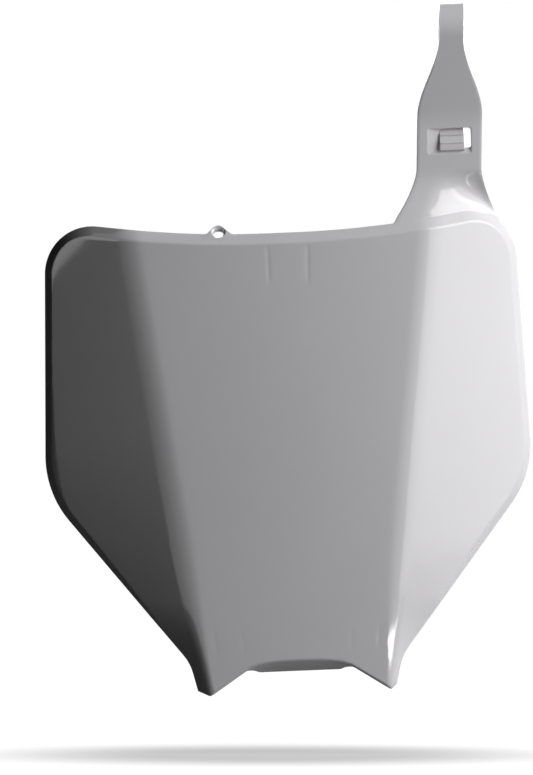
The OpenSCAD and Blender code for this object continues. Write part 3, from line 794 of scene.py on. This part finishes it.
# The painted soft shadow on the floor: its middle, where it starts to lighten, where it ends, its
# glow
SHADE_MIDDLE, SHADE_NEAR, SHADE_FAR, SHADE_GLOW = (-0.005, -0.028, 0), 0.0525, 0.185, 0.56

# Soft lights: name, azimuth to the right of the front, elevation, distance, width, height, power
LIGHTS = [
    ("key", 69, 30, 1.5, 1.5, 1.0, 17.2),
    ("side", 71, 4, 1.3, 1.6, 0.9, 8.6),
    ("back", 175, 22, 1.5, 1.2, 0.9, 7),
]
LIGHT_AIM = Vector((0.03, 0, -0.08))

# The wall of cards on the left, from its front end over the edge where it turns dark to its back
WALL_X, WALL_FRONT, WALL_EDGE, WALL_BACK = -0.35, -0.215, -0.045, 1.5
WALL_LOW, WALL_HIGH = -0.24, -0.13
APRON_X, APRON_FRONT = -0.02, -0.3

# The long oval lamp low on the right, set out from the right prong
SPOT_TURN, SPOT_DISTANCE, SPOT_SLANT = math.radians(30), 0.35, -0.105
SPOT_FROM = Vector((0.0763, -0.004, -0.2298))
SPOT_HALF_W, SPOT_HALF_H, SPOT_STEPS = 0.125, 0.0085, 48


def make_camera():
    data = bpy.data.cameras.new("camera")
    data.lens = data.sensor_width * CAMERA_DISTANCE / (FRAME_H * PIXEL)
    data.clip_start, data.clip_end = 0.1, 50
    camera = bpy.data.objects.new("camera", data)
    camera.location = VIEW_MIDDLE - Vector((0, CAMERA_DISTANCE, 0))
    level = Matrix.Rotation(math.pi / 2, 3, "X")
    camera.rotation_euler = (Matrix.Rotation(ROLL, 3, "Y") @ level).to_euler()
    bpy.context.scene.collection.objects.link(camera)
    bpy.context.scene.camera = camera


def area_light(name, azimuth, elevation, distance, width, height, power):
    """A soft light, seen from the object at an azimuth to the right of the front."""
    data = bpy.data.lights.new(name, "AREA")
    data.shape = "RECTANGLE"
    data.size, data.size_y = width, height
    data.energy = power
    lamp = bpy.data.objects.new(name, data)
    a, e = math.radians(azimuth), math.radians(elevation)
    out = Vector((math.sin(a) * math.cos(e), -math.cos(a) * math.cos(e), math.sin(e)))
    lamp.location = LIGHT_AIM + out * distance
    lamp.rotation_euler = out.to_track_quat("Z", "Y").to_euler()
    bpy.context.scene.collection.objects.link(lamp)


def light_path_share(tree):
    """1 for what the camera sees, directly or in gloss and glass, and 0 for light on things."""
    path = tree.nodes.new("ShaderNodeLightPath")
    total = path.outputs["Is Camera Ray"]
    for ray in ("Is Glossy Ray", "Is Transmission Ray"):
        most = tree.nodes.new("ShaderNodeMath")
        most.operation = "MAXIMUM"
        tree.links.new(total, most.inputs[0])
        tree.links.new(path.outputs[ray], most.inputs[1])
        total = most.outputs[0]
    return total


def make_world():
    """White where it is seen, and no light on things."""
    world = bpy.data.worlds.new("studio")
    bpy.context.scene.world = world
    world.use_nodes = True
    tree = world.node_tree
    background = tree.nodes["Background"]
    background.inputs["Color"].default_value = (1, 1, 1, 1)
    tree.links.new(light_path_share(tree), background.inputs["Strength"])


def make_floor():
    """A white floor, level in the picture, with painted shadow: it glows less in a soft oval below
    the board and where the board is near.
    """
    bpy.ops.mesh.primitive_circle_add(vertices=96, radius=FLOOR_R, fill_type="NGON",
                                      location=(VIEW_MIDDLE.x, FLOOR_Y, FLOOR_Z))
    floor = bpy.context.object
    floor.name = "floor"
    floor.rotation_euler = (0, ROLL, 0)
    material = bpy.data.materials.new("floor")
    material.use_nodes = True
    tree = material.node_tree
    shader = tree.nodes["Principled BSDF"]
    shader.inputs["Base Color"].default_value = (0.1, 0.1, 0.1, 1)
    shader.inputs["Roughness"].default_value = 1
    shader.inputs["Specular IOR Level"].default_value = 0
    shader.inputs["Emission Color"].default_value = (1, 1, 1, 1)
    # Painted shade: the floor's glow also drops where the board is near, by ambient occlusion
    near = tree.nodes.new("ShaderNodeAmbientOcclusion")
    near.samples = 16
    near.inputs["Distance"].default_value = 0.3
    place = tree.nodes.new("ShaderNodeTexCoord")
    apart = tree.nodes.new("ShaderNodeVectorMath")
    apart.operation = "DISTANCE"
    apart.inputs[1].default_value = SHADE_MIDDLE
    tree.links.new(place.outputs["Object"], apart.inputs[0])
    # Painted shadow: the glow drops in a soft oval below the board, and with the occlusion of the
    # board nearby
    oval = apart.outputs["Value"], SHADE_NEAR, SHADE_FAR, SHADE_GLOW, 1
    close = near.outputs["AO"], 0.75, 0.98, 0.92, 1
    product = light_path_share(tree)
    for factor in (ramp(material, *oval, "SMOOTHSTEP"), ramp(material, *close, "SMOOTHSTEP")):
        times = tree.nodes.new("ShaderNodeMath")
        times.operation = "MULTIPLY"
        tree.links.new(factor, times.inputs[0])
        tree.links.new(product, times.inputs[1])
        product = times.outputs[0]
    tree.links.new(product, shader.inputs["Emission Strength"])
    floor.data.materials.append(material)


def gloss_card(name, points, faces, low, high):
    """A card out of the camera's sight that only the gloss of the board mirrors.

    Its glow goes from low to high up the foot of the studio.
    """
    mesh = bpy.data.meshes.new(name)
    mesh.from_pydata(points, [], faces)
    card = bpy.data.objects.new(name, mesh)
    bpy.context.scene.collection.objects.link(card)
    card.visible_camera = card.visible_diffuse = card.visible_shadow = False
    material = bpy.data.materials.new(name)
    material.use_nodes = True
    tree = material.node_tree
    tree.nodes.remove(tree.nodes["Principled BSDF"])
    lamp = tree.nodes.new("ShaderNodeEmission")
    place = tree.nodes.new("ShaderNodeTexCoord")
    parts = tree.nodes.new("ShaderNodeSeparateXYZ")
    tree.links.new(place.outputs["Object"], parts.inputs[0])
    tree.links.new(ramp(material, parts.outputs["Z"], WALL_LOW, WALL_HIGH, low, high),
                   lamp.inputs["Strength"])
    tree.links.new(lamp.outputs[0], tree.nodes["Material Output"].inputs["Surface"])
    mesh.materials.append(material)


def make_cards():
    """What the gloss mirrors: a wall on the left that gives the dark rim, with a bright patch over
    its front for the top left corner, and a lamp low on the right for the right prong."""
    quad = [(0, 1, 2, 3)]

    def on_floor(x, y):
        return x, y, FLOOR_Z - math.tan(ROLL) * (x - VIEW_MIDDLE.x) + 0.001

    grey = [(WALL_FRONT, FLOOR_Z), (WALL_EDGE, FLOOR_Z), (WALL_EDGE, -0.05), (WALL_FRONT, 0.011)]
    gloss_card("grey_wall", [(WALL_X, y, z) for y, z in grey], quad, 0.02, 0.8)
    black = [(WALL_EDGE, FLOOR_Z), (WALL_BACK, FLOOR_Z), (WALL_BACK, 1.2), (WALL_EDGE, 1.2)]
    apron = [on_floor(WALL_X, APRON_FRONT), on_floor(APRON_X, APRON_FRONT),
             on_floor(APRON_X, WALL_BACK), on_floor(WALL_X, WALL_BACK)]
    gloss_card("black_wall", [(WALL_X, y, z) for y, z in black] + apron,
               quad + [(4, 5, 6, 7)], 0, 0)
    bright = [(WALL_FRONT, -0.1), (WALL_EDGE, -0.1), (WALL_EDGE, 0.25), (WALL_FRONT, 0.25)]
    gloss_card("bright_patch", [(WALL_X - 0.002, y, z) for y, z in bright], quad, 2.8, 2.8)

    out = Vector((math.sin(SPOT_TURN), -math.cos(SPOT_TURN), 0))
    middle = SPOT_FROM + SPOT_DISTANCE * out
    across = Vector((math.cos(SPOT_TURN), math.sin(SPOT_TURN), SPOT_SLANT))
    turns = [2 * math.pi * k / SPOT_STEPS for k in range(SPOT_STEPS)]
    oval = [middle + across * (SPOT_HALF_W * math.cos(t))
            + Vector((0, 0, SPOT_HALF_H * math.sin(t))) for t in turns]
    gloss_card("spot", oval, [tuple(range(SPOT_STEPS))], 17, 17)


make_camera()
number_board()
make_floor()
make_cards()
make_world()
for light in LIGHTS:
    area_light(*light)

bpy.context.scene.view_settings.view_transform = "Standard"
